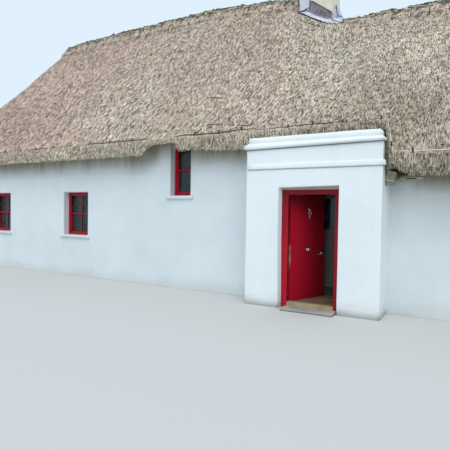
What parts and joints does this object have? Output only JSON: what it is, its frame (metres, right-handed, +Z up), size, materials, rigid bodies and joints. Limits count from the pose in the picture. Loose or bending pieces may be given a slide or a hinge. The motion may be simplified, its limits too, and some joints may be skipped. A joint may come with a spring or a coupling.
{
  "type": "thatched cottage",
  "caption": "Long low thatched cottage with white plastered stone walls, a flat-roofed entrance porch, red doors and windows, hipped ends and a chimney on the ridge.",
  "frame": {"origin": "on the ground, under the middle of the whole outline", "axes": "+X along the front from left to right, +Y from the front to the back, +Z up"},
  "size_m": [17.9012, 6.93, 8.3904],
  "materials": {
    "white_plaster": "limewashed plaster, faintly uneven",
    "concrete": "worn concrete",
    "worn_floor": "worn boards",
    "crimson_paint": "gloss paint on timber, worn at the edges",
    "nickel_fittings": "polished, slightly tarnished",
    "grey_green_paint": "matt paint on boards",
    "window_glass": "clear",
    "thatch": "weathered straw",
    "ridge_thatch": "weathered straw with moss",
    "cream_render": "rough render",
    "clay": "unglazed, sooty",
    "lead": "dull sheet lead",
    "lamp_housing": "matt grey paint"
  },
  "bodies": {
    "house": {"front_wall_left": "white_plaster", "front_wall_over_doorway": "white_plaster", "front_wall_right": "white_plaster", "back_wall": "white_plaster", "left_end_wall": "white_plaster", "right_end_wall": "white_plaster", "porch_wall_left": "white_plaster", "porch_wall_right": "white_plaster", "porch_wall_over_door": "white_plaster", "porch_string_course": "white_plaster", "porch_cornice": "white_plaster", "porch_coping": "white_plaster", "chimney_breast": "white_plaster", "room_floor": "concrete", "doorstep": "concrete", "lobby_floor": "worn_floor", "door_threshold": "worn_floor", "door_frame": "crimson_paint", "window_left_far_frame": "crimson_paint", "window_left_near_frame": "crimson_paint", "window_high_frame": "crimson_paint", "window_right_frame": "crimson_paint", "window_back_left_frame": "crimson_paint", "window_back_middle_frame": "crimson_paint", "window_back_right_frame": "crimson_paint", "inner_door_threshold": "grey_green_paint", "inner_door_frame": "grey_green_paint", "window_left_far_glass": "window_glass", "window_left_near_glass": "window_glass", "window_high_glass": "window_glass", "window_right_glass": "window_glass", "window_back_left_glass": "window_glass", "window_back_middle_glass": "window_glass", "window_back_right_glass": "window_glass", "thatch_front_slope": "thatch", "thatch_back_slope": "thatch", "thatch_left_hip": "thatch", "thatch_right_hip": "thatch", "ridge_cap_left": "ridge_thatch", "ridge_cap_right": "ridge_thatch", "chimney_stack": "cream_render", "chimney_cap": "cream_render", "chimney_pot": "clay", "lead_flashing": "lead", "flood_lamp": "lamp_housing", "flood_lamp_bracket": "lamp_housing", "eave_lamp": "lamp_housing"},
    "front_door": {"front_door_leaf": "crimson_paint", "door_knocker": "nickel_fittings", "door_knob": "nickel_fittings", "door_lever": "nickel_fittings"},
    "inner_door": {"inner_door_leaf": "grey_green_paint", "inner_door_glass": "window_glass"}
  },
  "joints": [
    {"name": "front_door_hinge", "type": "hinge", "parent": "house", "child": "front_door", "pos_m": [2.305, -3.173, 0], "axis": [0, 0, 1], "range_deg": [-67, 23]},
    {"name": "inner_door_hinge", "type": "hinge", "parent": "house", "child": "inner_door", "pos_m": [2.297, -2.188, 0], "axis": [0, 0, 1], "range_deg": [0, 90]}
  ]
}
